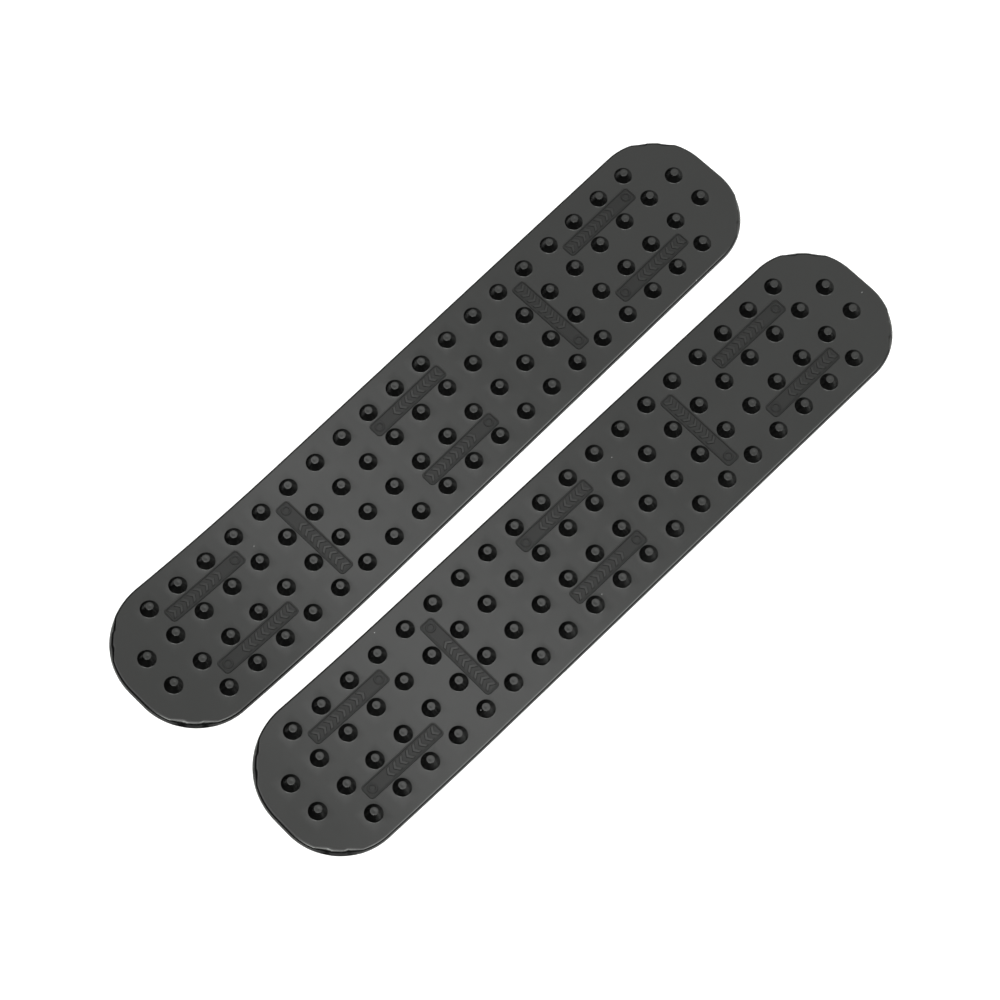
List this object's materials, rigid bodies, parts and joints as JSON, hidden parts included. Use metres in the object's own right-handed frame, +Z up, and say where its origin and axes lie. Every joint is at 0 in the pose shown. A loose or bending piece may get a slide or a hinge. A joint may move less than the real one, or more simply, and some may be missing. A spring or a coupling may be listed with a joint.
{
  "type": "traction mats",
  "caption": "Long, thin, flexible traction mats with rounded ends, rows of small truncated-cone grip studs, plain low badges, and a peel-off liner over an adhesive back.",
  "frame": {"origin": "on the table, under the middle of the pair's bounding box", "axes": "+X along the mats, towards the ends where the pads stay stuck as they peel; +Y across them, from the front mat to the back mat; +Z up through the studs"},
  "size_m": [0.282, 0.123, 0.0139],
  "materials": {
    "rubber": "satin black moulded elastomer, glossier on the edges and studs",
    "adhesive": "tacky, translucent cream film",
    "liner": "smooth off-white silicone-coated paper, slightly glossy"
  },
  "bodies": {
    "back_liner": {"liner_back_left": "liner", "liner_back_right": "liner"},
    "back_pad": {"pad_back": "rubber", "adhesive_back": "adhesive"},
    "front_liner": {"liner_front_left": "liner", "liner_front_right": "liner"},
    "front_pad": {"pad_front": "rubber", "adhesive_front": "adhesive"}
  },
  "joints": [
    {"name": "back_pad_peel", "type": "hinge", "parent": "back_liner", "child": "back_pad", "pos_m": [0.13573, 0.03381, 0.00025], "axis": [-0.0098, 1, 0], "range_deg": [0, 60]},
    {"name": "front_mat_apart", "type": "slide", "parent": "back_liner", "child": "front_liner", "axis": [0, -1, 0], "range_m": [0, 0.06]},
    {"name": "front_pad_peel", "type": "hinge", "parent": "front_liner", "child": "front_pad", "pos_m": [0.14094, -0.03381, 0.00025], "axis": [0.0098, 1, 0], "range_deg": [0, 60]}
  ]
}
